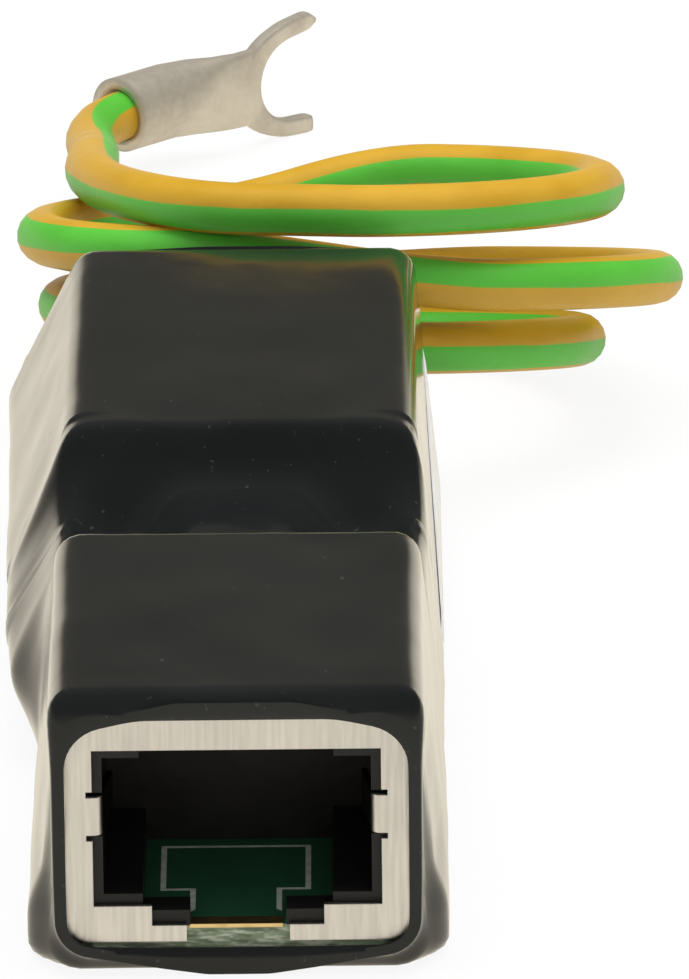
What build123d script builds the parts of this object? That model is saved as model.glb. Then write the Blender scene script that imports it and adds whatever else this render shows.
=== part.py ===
from build123d import *
import os
from math import cos, pi, radians, sin, tan

# Inline surge protector for a network cable: a printed board with a shielded jack at each end,
# held in a heat-shrunk sleeve, with an earth wire that ends in a fork terminal.
# Sizes are in mm. X is to the right, Y runs from the front port to the rear port and Z is up.
# The origin is on the underside of the sleeve, on the jacks' centre plane and midway between ports.

# Sleeve
film_wall = 0.55
film_overhang = 0.4
lip_length = 2.8
lip_half_width = 7.95
lip_corner = 1.3
front_shoulder = 2.4
rear_shoulder = 0.35
shoulder_roll = 0.8
roll_lean = 0.25
mound_foot = 0.3
mound_flat = 0.3
film_slack = 0.1
joint_bulge = 0.95
joint_bulge_run = 0.4
bend_sliver = 0.01
hidden_share = 0.4
past_face = 1.0

# Board
board_setback = 0.4
board_margin = 0.85
board_thickness = 1.6
board_end_half_width = 6.5
board_end_chamfer = 2.8
board_edge_gap = 0.02
board_edge_radius = 0.2

# Jack, with y counted inward from the jack's face and heights from the board
jack_side = 1.85
jack_roof = 1.3
jack_corner = 0.75
shield_wall = 0.25
fit_gap = 0.05

# Window in the face of the shield
face_overhang = 0.66
face_corner = 1.25
window_rim = 0.45
window_bottom = 1.07
step_half = 3.85
step_bottom = 0.13
gap_half = 2.3
finger_low = 4.33
finger_high = 6.4
finger_slit = 0.26
finger_notch = 0.28
finger_length = 3.4
finger_lean = 0.45
finger_turn = 0.3
tab_width = 2.0
tab_places = (5.2, 15.6)

# Port cavity in the housing
cavity_half = 6.0
cavity_floor = 1.55
cavity_roof = 8.05
cavity_depth = 10.9
cavity_back_wall = 0.45
floor_half = 4.25
neck_half = 2.15
neck_height = 0.75
neck_length = 1.6
peg_diameter = 2.4
peg_place = (5.75, 9.2)
hole_gap = 0.1

# Contact insert and contacts
contact_count = 8
contact_pitch = 1.02
contact_width = 0.35
contact_thickness = 0.3
tongue_nose = 3.0
tongue_gap = 0.1
tongue_thickness = 1.0
insert_half = 5.7
insert_length = 8.25
insert_rear_gap = 0.8
comb_length = 5.25
comb_drop = 1.15
comb_width = 0.42
pin_setback = 2.25
pin_row_pitch = 2.54
contact_reach = 2.72
contact_bend = 0.42
contact_tip_setback = 1.3
contact_tip_drop = 2.1
contact_knee_drop = 0.3

# Parts between the jacks
tube_count = 4
tube_diameter = 8.0
tube_length = 2.65
tube_cap = 0.7
tube_gap = 0.3
tube_step = 0.2
lead_diameter = 0.6
capacitor_width = 7.2
capacitor_depth = 5.0
capacitor_half_gap = 0.15
capacitor_foot = 0.4
capacitor_round = 0.3
capacitor_pitch = 5.0
tvs_body = (1.6, 2.9, 1.05)
tvs_span = 2.8
tvs_lead = (0.35, 0.15)
tvs_pitch = 0.95
tvs_place = 5.6
tvs_spacing = 3.1
tvs_lift = 0.1
resistor_size = (1.6, 0.8, 0.45)
resistor_spacing = 2.2
resistor_edge = 0.6

# Widths, heights, and places along the jack
window_half = cavity_half + window_rim
window_top = cavity_roof + window_rim
jack_width = 2 * (cavity_half + jack_side)
board_width = jack_width + 2 * board_margin
tongue_bottom = cavity_roof + tongue_gap
insert_top = tongue_bottom + tongue_thickness
jack_height = insert_top + fit_gap + jack_roof + fit_gap + shield_wall
board_bottom = film_wall + board_edge_gap
board_top = board_bottom + board_thickness
jack_top = board_top + jack_height
insert_face = cavity_depth + cavity_back_wall
insert_back = insert_face + insert_length
pin_rows = (insert_face + pin_setback, insert_face + pin_setback + pin_row_pitch)
jack_length = insert_back + insert_rear_gap

# Places along the whole part: what lies between the jacks sets how far apart they are
tube_run = tube_count * (tube_length + tube_gap)
middle_length = front_shoulder + tube_run + rear_shoulder + shoulder_roll + capacitor_depth + fit_gap
jack_back = middle_length / 2
jack_face = jack_back + jack_length
valley_start = front_shoulder - jack_back
valley_end = valley_start + tube_run
capacitor_front = jack_back - fit_gap - capacitor_depth
rear_end = jack_face + film_overhang
board_end = jack_face - board_setback


def shifted(points, start):
    """Points whose y is given from a start."""
    return [(x, start + y, z) for x, y, z in points]


# Earth wire inside the sleeve, from its solder joint to the sleeve's rear end
wire_diameter = 2.6
conductor_diameter = 1.15
wire_slack = 0.05
conductor_z = board_top + conductor_diameter / 2 + fit_gap
wire_beside_tubes = [(-9.0, 4.8, 3.9), (-9.2, 10.3, 5.0)]
wire_beside_jack = [(-9.3, -22.0, 5.45), (-9.4, -12.0, 5.6), (-9.7, 0, 5.5)]
bare_wire = [(-8.93, 2.875, 3.515), (-8.1, 1.3, conductor_z), (-7.9, -0.8, conductor_z)]
inner_route = shifted(wire_beside_tubes, valley_start) + shifted(wire_beside_jack, rear_end)
conductor_route = shifted(bare_wire, valley_start)
solder_size = (1.5, 2.4, 0.85)
solder_round = 0.35

# Coil of the free wire: three turns that lean back, with their front on the sleeve's rear end.
# Each level of the coil is an oval ring, as its outermost left and right, and its front, back,
# underside and top measured from the sleeve's rear end, along and across the leaning turns.
coil_lean = 17.0
coil_wall = 4.6
coil_levels = [
    (-11.3, 18.2, -1.05, 22.05, 5.04, 9.34),
    (-11.3, 22.0, -2.15, 22.85, 9.34, 12.84),
    (-10.4, 18.8, -2.65, 24.75, 12.84, 17.64),
]
coil_top = 15.8
coil_sleeve_gap = 0.3
coil_floor_gap = 0.02
coil_ends = [(-9.8125, 8.8, 4.15), (-8.7, 19.3, 10.9)]
coil_entry, coil_leave = shifted(coil_ends, rear_end)
coil_entry_top = 8.04
coil_leave_bottom = 14.34
coil_inlet_width = 5.0

# Fork terminal
fork_place = (-7.0, 51.8, 3.35)
fork_heading = 45.0
barrel_diameter = 4.0
barrel_wall = 0.6
barrel_length = 5.2
fork_plate = 0.8
fork_slot = 4.5
prong_width = 1.1
fork_root = 8.4
fork_tip = 12.6
neck_start = 4.4
neck_end = 7.4
neck_half_width = 1.85
seam_width = 0.15
dent_depth = 0.35
dent_radius = 1.6
wire_insertion = 3.0

# Free wire, by hand: from the sleeve to the coil, and from the coil into the fork's barrel
lead_points = [(-9.8125, 4.5, 5.4625)]
tail_points = [
    (-8.7, 26.0, 8.85),
    (-9.0, 33.4, 6.9),
    (-9.4, 40.0, 5.0),
    (-9.35, 44.4, 4.0),
    (-9.1, 47.9, 3.5),
]
lead_route = [inner_route[-1], *shifted(lead_points, rear_end), coil_entry]
tail_route = [coil_leave, *shifted(tail_points, rear_end)]
barrel_run_in = 1.3

# Label, its corners measured along from the sleeve's rear end and up
label_thickness = 0.08
label_corners = [(-24.0, 1.6), (-0.6, 1.6), (-0.6, 8.8), (-9.0, 7.2), (-22.6, 2.4)]


def block(x0, x1, y0, y1, z0, z1):
    return Pos((x0 + x1) / 2, (y0 + y1) / 2, (z0 + z1) / 2) * Box(x1 - x0, y1 - y0, z1 - z0)


def mix(a, b, share):
    return tuple(p + (q - p) * share for p, q in zip(a, b))


def along(keys, y):
    """A value that runs in straight steps between its keys, each a y and a tuple."""
    if y <= keys[0][0]:
        return keys[0][1]
    for (y0, value_0), (y1, value_1) in zip(keys, keys[1:]):
        if y <= y1:
            return mix(value_0, value_1, (y - y0) / (y1 - y0))
    return keys[-1][1]


# What the sleeve lies on at each section, as the x, z and radius of a round corner
board_rest = (board_width / 2 + board_edge_gap, film_wall + board_edge_radius, board_edge_radius)
edge_rest = (board_width / 2 + board_edge_gap, board_top - board_edge_radius, board_edge_radius)
lip_rest = (lip_half_width - lip_corner, film_wall + lip_corner, lip_corner)
jack_rest = (jack_width / 2 - jack_corner, jack_top - jack_corner, jack_corner)
tube_rest = (mound_flat, board_top + tube_diameter / 2, tube_diameter / 2 + film_slack)


def facing(before, after):
    """Which way the film faces where it runs taut from one round corner to the next."""
    (x0, z0, r0), (x1, z1, r1) = before, after
    run = ((x1 - x0) ** 2 + (z1 - z0) ** 2) ** 0.5
    dx, dz = (x1 - x0) / run, (z1 - z0) / run
    lean = (r0 - r1) / run
    square = (1 - lean**2) ** 0.5
    return (dz * square + dx * lean, -dx * square + dz * lean)


def slightest_bend(before, after):
    x, z, r = mix(before, after, hidden_share)
    return (x, z, r + bend_sliver)


def stand_out(spot, before, after):
    """The spot, or where the film passes clear of it, the slightest bend on the film's way."""
    nx, nz = facing(before, after)
    proud = nx * (spot[0] - before[0]) + nz * (spot[1] - before[1]) + spot[2] - before[2]
    return spot if proud > bend_sliver else slightest_bend(before, after)


def film_outline(spots, y):
    """A taut closed outline round the spots, which go round the section in turn: bends and straights."""
    normals = [facing(before, after) for before, after in zip(spots, spots[1:] + spots[:1])]
    edges = []
    last = len(spots) - 1
    for i, (x, z, r) in enumerate(spots):
        (ax, az), (bx, bz) = normals[i - 1], normals[i]
        mx, mz = ax + bx, az + bz
        size = (mx**2 + mz**2) ** 0.5
        first = (x + r * ax, y, z + r * az)
        middle = (x + r * mx / size, y, z + r * mz / size)
        final = (x + r * bx, y, z + r * bz)
        edges.append(ThreePointArc(first, middle, final))
        x_next, z_next, r_next = spots[0] if i == last else spots[i + 1]
        edges.append(Line(final, (x_next + r_next * bx, y, z_next + r_next * bz)))
    return Face(Wire(edges))


def along_board(rest):
    """A rest that holds along the board and gives way to the lip at the sleeve's ends."""
    board = rear_end - lip_length
    return [(-rear_end, lip_rest), (-board, rest), (board, rest), (rear_end, lip_rest)]


def top_rests(grow):
    """The rests of the sleeve's top: front jack, shoulder, gas tubes, and a rolled edge to the capacitors."""
    rests = [
        (-jack_back + grow, jack_rest),
        (valley_start + grow, tube_rest),
        (valley_end - grow, tube_rest),
        (valley_end - grow + rear_shoulder, mix(jack_rest, tube_rest, mound_foot)),
    ]
    for turn in (30, 60, 90):
        swing = radians(turn)
        x, z, r = jack_rest
        drop = shoulder_roll * (1 - sin(swing))
        roll_y = capacitor_front - grow - shoulder_roll * cos(swing)
        rests.append((roll_y, (x - roll_lean * drop, z - drop, r)))
    return rests


def wire_rests():
    """The rests on the left flank: the solder joint, the bare conductor and the earth wire."""
    rests = [(y, (x, z, joint_bulge)) for x, y, z in reversed(conductor_route)]
    return rests + [(y, (x, z, wire_diameter / 2 + wire_slack)) for x, y, z in inner_route]


def film_form(grow, overshoot):
    """The space inside the sleeve as a solid, or with grow at the wall, its outer form."""
    base_keys = along_board(board_rest)
    edge_keys = along_board(edge_rest)
    top_keys = top_rests(grow)
    wire_keys = wire_rests()
    joint_front = wire_keys[0][0] - grow
    bulge_keys = [(joint_front - joint_bulge_run, (0.0,)), (joint_front, (1.0,))]

    sections = []
    stations = {key[0] for key in base_keys + top_keys + wire_keys + bulge_keys}
    if overshoot:
        stations |= {-rear_end - overshoot, rear_end + overshoot}
    for y in sorted(stations):
        base, edge, top = along(base_keys, y), along(edge_keys, y), along(top_keys, y)
        left_base, left_edge, left_top = ((-x, z, r) for x, z, r in (base, edge, top))
        shelf = stand_out(left_edge, left_top, left_base)
        unlaid = slightest_bend(left_top, shelf)
        wire = stand_out(along(wire_keys, y), left_top, shelf)
        left_wire = mix(unlaid, wire, along(bulge_keys, y)[0])
        left_shelf = stand_out(left_edge, left_wire, left_base)
        spots = [left_base, base, stand_out(edge, base, top), top, left_top, left_wire, left_shelf]
        sections.append(film_outline([(x, z, r + grow) for x, z, r in spots], y))
    return loft(sections, ruled=True)


def outline(x_half, z0, z1, top_radius=0, bottom_radius=0):
    """A flat upright outline, centred on x, with rounded top and bottom corners."""
    flat = Pos(0, (z0 + z1) / 2) * Rectangle(2 * x_half, z1 - z0)
    if top_radius:
        flat = fillet(flat.vertices().group_by(Axis.Y)[-1], top_radius)
    if bottom_radius:
        flat = fillet(flat.vertices().group_by(Axis.Y)[0], bottom_radius)
    return flat


def plate(flat, y0, y1):
    """An upright outline, pushed along Y from y0 to y1."""
    return extrude(Pos(0, y0, 0) * (Plane.XZ * flat), amount=y1 - y0, dir=(0, 1, 0))


# The jack, drawn once with its face at y = 0 and its depth along +Y


def make_shield():
    """Folded sheet shell: face with the port's window and two spring fingers, roof, sides and back."""
    half = jack_width / 2
    t = shield_wall
    shell = plate(outline(half, board_top, jack_top, jack_corner), 0, jack_length)
    shell -= plate(outline(half - t, board_top - 1, jack_top - t, jack_corner - t), t, jack_length - t)
    low = board_top - face_overhang
    shell += plate(outline(half, low, jack_top, jack_corner, face_corner), 0, t)
    shell -= plate(outline(window_half, board_top + window_bottom, board_top + window_top), -t, 2 * t)
    shell -= plate(outline(step_half, board_top + step_bottom, board_top + window_bottom), -t, 2 * t)
    shell -= plate(outline(gap_half, low - 1, board_top + step_bottom), -t, 2 * t)
    root = window_half + finger_notch
    for height in (finger_low, finger_high):
        z = board_top + height
        shell -= plate(outline(root, z - finger_slit / 2, z + finger_slit / 2), -t, 2 * t)
    bend = window_half - finger_turn
    inner_end = (bend - finger_lean, finger_length)
    finger_path = FilletPolyline((root, t / 2), (bend, t / 2), inner_end, radius=finger_turn)
    finger_foot = board_top + finger_low + finger_slit / 2
    finger_height = finger_high - finger_low - finger_slit
    finger = extrude(Pos(0, 0, finger_foot) * trace(finger_path, t), amount=finger_height)
    shell += [finger, mirror(finger, about=Plane.YZ)]
    for y in tab_places:
        tab = block(half - t, half, y - tab_width / 2, y + tab_width / 2, board_bottom, board_top + t)
        shell += [tab, mirror(tab, about=Plane.YZ)]
    return shell


def make_housing():
    """Black moulding inside the shell: the port's walls and roof, open to the board below."""
    half = jack_width / 2 - shield_wall - fit_gap
    roof = jack_top - shield_wall - fit_gap
    front = shield_wall + fit_gap
    back = jack_length - shield_wall - fit_gap
    floor = board_top + cavity_floor
    ceiling = board_top + cavity_roof
    slot_top = board_top + insert_top + fit_gap
    body = plate(outline(half, board_top, roof, jack_corner - shield_wall), front, back)
    body -= block(-cavity_half, cavity_half, 0, cavity_depth, floor, ceiling)
    body -= block(-floor_half, floor_half, 0, cavity_depth, board_bottom, floor)
    body -= block(-tongue_half - fit_gap, tongue_half + fit_gap, 0, insert_face, ceiling, slot_top)
    pocket_half = insert_half + fit_gap
    body -= block(-pocket_half, pocket_half, insert_face - fit_gap, jack_length, board_bottom, slot_top)
    post = block(neck_half, floor_half, front, front + neck_length, board_top, board_top + neck_height)
    body += [post, mirror(post, about=Plane.YZ)]
    pocket = block(
        cavity_half - fit_gap,
        window_half + finger_notch,
        0,
        finger_length + finger_slit,
        board_top + finger_low,
        board_top + finger_high,
    )
    body -= [pocket, mirror(pocket, about=Plane.YZ)]
    x, y = peg_place
    peg = Pos(x, y, board_bottom + board_thickness / 2) * Cylinder(peg_diameter / 2, board_thickness)
    body += [peg, mirror(peg, about=Plane.YZ)]
    return body


# Half the width of the row of contacts, with the comb's outer teeth
tongue_half = (contact_count * contact_pitch + comb_width) / 2


def contact_x(index):
    return (index - (contact_count - 1) / 2) * contact_pitch


def make_insert():
    """Carrier of the contacts: a rear block on the board, a tongue under the roof and a comb below it."""
    top = board_top + insert_top
    under = board_top + tongue_bottom
    tongue = block(-tongue_half, tongue_half, tongue_nose, insert_face, under, top)
    tongue = fillet(tongue.edges().filter_by(Axis.X).group_by(Axis.Y)[0], (top - under) / 3)
    body = tongue + block(-insert_half, insert_half, insert_face, insert_back, board_top, top)
    for i in range(contact_count + 1):
        x = (i - contact_count / 2) * contact_pitch
        comb_back = cavity_depth - fit_gap
        comb_start = comb_back - comb_length
        body += block(x - comb_width / 2, x + comb_width / 2, comb_start, comb_back, under - comb_drop, under)
    half_groove = contact_width / 2 + fit_gap
    groove_depth = contact_thickness + fit_gap
    for i in range(contact_count):
        x0, x1 = contact_x(i) - half_groove, contact_x(i) + half_groove
        back = pin_rows[i % 2] + contact_thickness / 2 + fit_gap
        body -= block(x0, x1, 0, back, top - groove_depth, top + fit_gap)
        body -= block(x0, x1, back - groove_depth - fit_gap, back, board_bottom, top)
    return body


def make_contact(index):
    """Spring contact: a pin through the board, up and forward over the tongue, and back into the port."""
    row = pin_rows[index % 2]
    x = contact_x(index)
    run = board_top + insert_top - contact_thickness / 2
    tip = (x, cavity_depth - contact_tip_setback, board_top + cavity_roof - contact_tip_drop)
    path = FilletPolyline(
        (x, row, board_bottom),
        (x, row, run),
        (x, contact_reach, run),
        (x, contact_reach, board_top + cavity_roof - contact_knee_drop),
        tip,
        radius=contact_bend,
    )
    start = Plane(origin=path @ 0, x_dir=(1, 0, 0), z_dir=path % 0)
    return sweep(start * Rectangle(contact_width, contact_thickness), path)


def jack_parts():
    parts = {"shield": make_shield(), "housing": make_housing(), "contact_insert": make_insert()}
    for i in range(contact_count):
        parts[f"contact_{i + 1}"] = make_contact(i)
    return parts


# The board and what stands on it between the jacks


tube_middle = (valley_start + valley_end) / 2
tube_places = [valley_start + (i + 0.5) * (tube_length + tube_gap) for i in range(tube_count)]
tube_lead_y = (tube_length - tube_cap) / 2
capacitor_x = capacitor_half_gap + capacitor_width / 2
capacitor_y = capacitor_front + capacitor_depth / 2
capacitor_pin = capacitor_pitch / 2


def make_board():
    half_width = board_width / 2
    corner = [(board_end_half_width, board_end), (half_width, board_end - board_end_chamfer)]
    right = corner + [(x, -y) for x, y in reversed(corner)]
    left = [(-x, y) for x, y in reversed(right)]
    shape = Pos(0, 0, board_bottom) * Polygon(*right, *left, align=None)
    board = extrude(shape, amount=board_thickness, dir=(0, 0, 1))

    def hole(x, y, diameter):
        return Pos(x, y, board_bottom + board_thickness / 2) * Cylinder(diameter / 2, 2 * board_thickness)

    holes = []
    pin_hole = contact_width + 2 * hole_gap
    for end in (-1, 1):
        for i in range(contact_count):
            holes.append(hole(-end * contact_x(i), end * (jack_face - pin_rows[i % 2]), pin_hole))
        for side in (-1, 1):
            x, y = peg_place
            holes.append(hole(side * x, end * (jack_face - y), peg_diameter + 2 * hole_gap))
            for y in tab_places:
                slot_x = side * (jack_width - shield_wall) / 2
                slot_y = end * (jack_face - y)
                wide = shield_wall / 2 + hole_gap
                long = tab_width / 2 + hole_gap
                holes.append(block(slot_x - wide, slot_x + wide, slot_y - long, slot_y + long, 0, 2 * board_top))
    lead_hole = lead_diameter + 2 * hole_gap
    for y in tube_places:
        for step in (-1, 1):
            holes.append(hole(0, y + step * tube_lead_y, lead_hole))
    for side in (-1, 1):
        for step in (-1, 1):
            holes.append(hole(side * capacitor_x + step * capacitor_pin, capacitor_y, lead_hole))
    return board - holes


def make_gas_tube(y):
    """Squat gas discharge tube on its edge: a ceramic ring between two metal caps, each with a leg."""
    radius = tube_diameter / 2
    z = board_top + radius
    leg = z - board_bottom
    tube = Pos(0, y, z) * Rot(90, 0, 0) * Cylinder(radius - tube_step, tube_length)
    for step in (-1, 1):
        cap_y = y + step * tube_lead_y
        tube += Pos(0, cap_y, z) * Rot(90, 0, 0) * Cylinder(radius, tube_cap)
        tube += Pos(0, cap_y, board_bottom + leg / 2) * Cylinder(lead_diameter / 2, leg)
    return tube


def make_box_capacitor(side):
    """Boxed film capacitor behind the rear jack, on two feet and two legs."""
    x = side * capacitor_x
    x0, x1 = x - capacitor_width / 2, x + capacitor_width / 2
    y0, y1 = capacitor_front, capacitor_front + capacitor_depth
    box = block(x0, x1, y0, y1, board_top, jack_top)
    box = fillet(box.edges().filter_by(Axis.Z) + box.edges().group_by(Axis.Z)[-1], capacitor_round)
    foot = capacitor_round + capacitor_foot
    box -= block(x0 + foot, x1 - foot, y0, y1, board_top, board_top + capacitor_foot)
    for step in (-1, 1):
        leg = board_thickness + 2 * capacitor_foot
        box += Pos(x + step * capacitor_pin, capacitor_y, board_bottom + leg / 2) * Cylinder(lead_diameter / 2, leg)
    return box


def make_tvs_array(index):
    """Six-legged suppressor array on the board, beside the gas tubes."""
    wide, long, tall = tvs_body
    side = 1 if index % 2 else -1
    x = side * tvs_place
    y = tube_middle + (index // 2 - 0.5) * tvs_spacing
    base = board_top + tvs_lift
    body = block(x - wide / 2, x + wide / 2, y - long / 2, y + long / 2, base, base + tall)
    body = chamfer(body.edges().group_by(Axis.Z)[-1], tvs_lift)
    lead_width, lead_thick = tvs_lead
    for step in (-1, 0, 1):
        centre = y + step * tvs_pitch
        y0, y1 = centre - lead_width / 2, centre + lead_width / 2
        body += block(x - tvs_span / 2, x + tvs_span / 2, y0, y1, board_top, board_top + lead_thick)
    return body


def make_chip_resistors():
    """Four chip resistors along the right edge of the board."""
    long, wide, tall = resistor_size
    x1 = board_width / 2 - resistor_edge
    chips = []
    for i in range(4):
        y = tube_middle + (i - 1.5) * resistor_spacing
        chips.append(block(x1 - wide, x1, y - long / 2, y + long / 2, board_top, board_top + tall))
    return Compound(children=chips)


# The earth wire


def bend_radii(route):
    """As large an arc at each corner as its two runs allow."""
    radii = []
    for a, b, c in zip(route, route[1:], route[2:]):
        before, after = Vector(*b) - Vector(*a), Vector(*c) - Vector(*b)
        turn = radians(before.get_angle(after))
        radii.append(0.45 * min(before.length, after.length) / tan(turn / 2))
    return radii


def make_cord(route, diameter, name):
    radii = bend_radii(route)
    path = FilletPolyline(*route, radius=radii)
    cord = sweep(Plane(origin=path @ 0, z_dir=path % 0) * Circle(diameter / 2), path)
    share = cord.volume / (path.length * pi * diameter**2 / 4)
    print(f"{name}: length {path.length:.1f}, volume ratio {share:.3f}, radii", [round(r, 1) for r in radii])
    return cord


def make_solder_joint(conductor):
    wide, long, tall = solder_size
    x, y, _ = conductor_route[-1]
    joint = block(x - wide / 2, x + wide / 2, y, y + long, board_top, board_top + tall)
    joint = fillet(joint.edges().group_by(Axis.Z)[-1] + joint.edges().filter_by(Axis.Z), solder_round)
    return joint - conductor


def make_coil():
    """One closed form round the three turns: an oval ring for each, stepped and leaning back."""
    lean = radians(coil_lean)
    leaning = Plane(origin=(0, rear_end, 0), x_dir=(1, 0, 0), z_dir=(0, sin(lean), cos(lean)))
    coil = None
    for left, right, front, back, low, high in coil_levels:
        middle = Pos((left + right) / 2, (front + back) / 2, low)
        deep = back - front
        ring = SlotOverall(right - left, deep) - SlotOverall(right - left - 2 * coil_wall, deep - 2 * coil_wall)
        level = extrude(middle * ring, amount=high - low)
        coil = level if coil is None else coil + level
    entry = leaning.to_local_coords(Vector(*coil_entry))
    leave = leaning.to_local_coords(Vector(*coil_leave))
    reach = coil_levels[0][2] - 1
    end = coil_levels[-1][3] + 1
    inner_x = entry.X + coil_inlet_width - wire_diameter / 2
    coil -= block(entry.X - coil_inlet_width, inner_x, reach - 1, entry.Y, 0, coil_entry_top)
    coil -= block(leave.X - coil_inlet_width, inner_x, leave.Y, end, coil_leave_bottom, 2 * coil_leave_bottom)
    coil = leaning * coil
    start = rear_end + coil_sleeve_gap
    return coil & block(-jack_face, jack_face, start, start + 2 * jack_face, coil_floor_gap, coil_top)


def on_barrel_axis(distance):
    """A point on the axis of the fork's barrel, that far inside its mouth."""
    heading = radians(fork_heading)
    x, y, z = fork_place
    return (x + distance * sin(heading), rear_end + y + distance * cos(heading), z)


def make_fork_terminal():
    """Crimped fork: a rolled barrel with its seam and dent, a neck, and a plate with an open slot."""
    radius = barrel_diameter / 2
    bore = radius - barrel_wall

    def rod(r, y0, y1):
        return Pos(0, (y0 + y1) / 2, 0) * Rot(90, 0, 0) * Cylinder(r, y1 - y0)

    barrel = rod(radius, 0, neck_end) - rod(bore, -1, neck_end + 1)
    inner_face = radius - fork_plate
    open_side = Polygon(
        (-radius - 1, barrel_length),
        (-radius, barrel_length),
        (inner_face, neck_end),
        (inner_face, neck_end + 1),
        (-radius - 1, neck_end + 1),
        align=None,
    )
    barrel -= extrude(open_side, amount=radius + 1, both=True)
    barrel -= block(-radius - 1, 0, -1, neck_end, -seam_width / 2, seam_width / 2)
    dent = Pos(radius + dent_radius - dent_depth, barrel_length / 2, 0) * Cylinder(dent_radius, 2 * radius)
    barrel -= dent

    half_slot = fork_slot / 2
    half_fork = half_slot + prong_width
    eye = fork_root + half_slot
    tip = fork_tip - prong_width / 2
    neck = Polygon(
        (neck_start, -neck_half_width),
        (neck_end, -neck_half_width),
        (fork_root, -half_slot),
        (fork_root, half_slot),
        (neck_end, neck_half_width),
        (neck_start, neck_half_width),
        align=None,
    )
    disc = Pos(eye, 0) * Circle(half_fork)
    disc -= Pos(eye + half_fork, 0) * Rectangle(2 * half_fork, 4 * half_fork)
    prong_length = tip - eye
    fork = neck + disc
    for side in (-1, 1):
        z = side * (half_slot + prong_width / 2)
        fork += Pos(eye + prong_length / 2, z) * Rectangle(prong_length, prong_width)
        fork += Pos(tip, z) * Circle(prong_width / 2)
    fork -= Pos(eye, 0) * Circle(half_slot)
    fork -= Pos(eye + half_fork, 0) * Rectangle(2 * half_fork, fork_slot)
    plate_side = Plane(origin=(inner_face, 0, 0), x_dir=(0, 1, 0), z_dir=(1, 0, 0))
    terminal = barrel + extrude(plate_side * fork, amount=fork_plate)
    return Pos(*on_barrel_axis(0)) * Rot(0, 0, -fork_heading) * terminal


def make_label(sleeve_outside):
    """Thin blank label on the right flank of the sleeve."""
    skin = film_form(film_wall + label_thickness, 0) - sleeve_outside
    corners = Pos(0, rear_end, 0) * (Plane.YZ * Polygon(*label_corners, align=None))
    return skin & extrude(corners, amount=board_width, dir=(1, 0, 0))


def main():
    os.makedirs("parts", exist_ok=True)
    sleeve_outside = film_form(film_wall, 0)
    parts = {
        "heat_shrink_sleeve": sleeve_outside - film_form(0, past_face),
        "side_label": make_label(sleeve_outside),
        "circuit_board": make_board(),
        "chip_resistors": make_chip_resistors(),
    }
    jack = jack_parts()
    at_front = Pos(0, -jack_face, 0)
    for end, place in (("front", at_front), ("rear", Rot(0, 0, 180) * at_front)):
        for name, piece in jack.items():
            parts[f"{end}_{name}"] = place * piece
    for i, y in enumerate(tube_places):
        parts[f"gas_tube_{i + 1}"] = make_gas_tube(y)
        parts[f"tvs_array_{i + 1}"] = make_tvs_array(i)
    for i, side in enumerate((-1, 1)):
        parts[f"box_capacitor_{i + 1}"] = make_box_capacitor(side)
    conductor = make_cord([inner_route[0], *conductor_route], conductor_diameter, "ground_wire_conductor")
    parts["ground_wire_conductor"] = conductor
    parts["ground_solder_joint"] = make_solder_joint(conductor)
    parts["ground_wire_inner"] = make_cord(inner_route, wire_diameter, "ground_wire_inner")
    parts["ground_wire_lead"] = make_cord(lead_route, wire_diameter, "ground_wire_lead")
    parts["ground_wire_coil"] = make_coil()
    in_barrel = [on_barrel_axis(-barrel_run_in), on_barrel_axis(wire_insertion)]
    parts["ground_wire_tail"] = make_cord([*tail_route, *in_barrel], wire_diameter, "ground_wire_tail")
    parts["fork_terminal"] = make_fork_terminal()
    for name, piece in parts.items():
        export_step(piece, f"parts/{name}.step")


main()
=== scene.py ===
import bmesh
import bpy
from math import ceil, copysign, cos, hypot, pi, radians, sin, sqrt
from mathutils import Matrix, Vector, noise


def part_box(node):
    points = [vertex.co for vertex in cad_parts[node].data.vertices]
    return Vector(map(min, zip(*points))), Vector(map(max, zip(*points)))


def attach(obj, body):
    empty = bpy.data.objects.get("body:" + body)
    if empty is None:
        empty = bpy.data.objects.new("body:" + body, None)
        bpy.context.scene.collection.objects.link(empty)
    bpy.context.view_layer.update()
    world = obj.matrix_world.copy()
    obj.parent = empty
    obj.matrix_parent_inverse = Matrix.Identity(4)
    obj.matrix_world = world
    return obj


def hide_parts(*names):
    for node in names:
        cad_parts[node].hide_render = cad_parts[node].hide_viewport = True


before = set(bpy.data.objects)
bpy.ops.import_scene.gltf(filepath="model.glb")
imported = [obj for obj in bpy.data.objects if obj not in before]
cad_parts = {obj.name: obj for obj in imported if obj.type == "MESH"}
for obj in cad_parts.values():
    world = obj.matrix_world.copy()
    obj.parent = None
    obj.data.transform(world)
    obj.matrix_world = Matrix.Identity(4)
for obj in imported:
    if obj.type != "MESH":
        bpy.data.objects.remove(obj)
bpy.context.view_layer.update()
millimetre = 0.001

# The view: the object stands on a pale sweep and is seen from its front port, some 20 degrees from
# above, through a long lens held a little off level.
view_elevation = radians(19.786)
view_azimuth = radians(0.1078)
view_roll = radians(-0.6288)
view_distance = 600 * millimetre
view_aim = Vector((0, 0, 7)) * millimetre
view_shift = (4.8541 * millimetre, 4.6759 * millimetre)
view_focal_pixels = 12811.4
view_tall_pixels = 979

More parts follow.
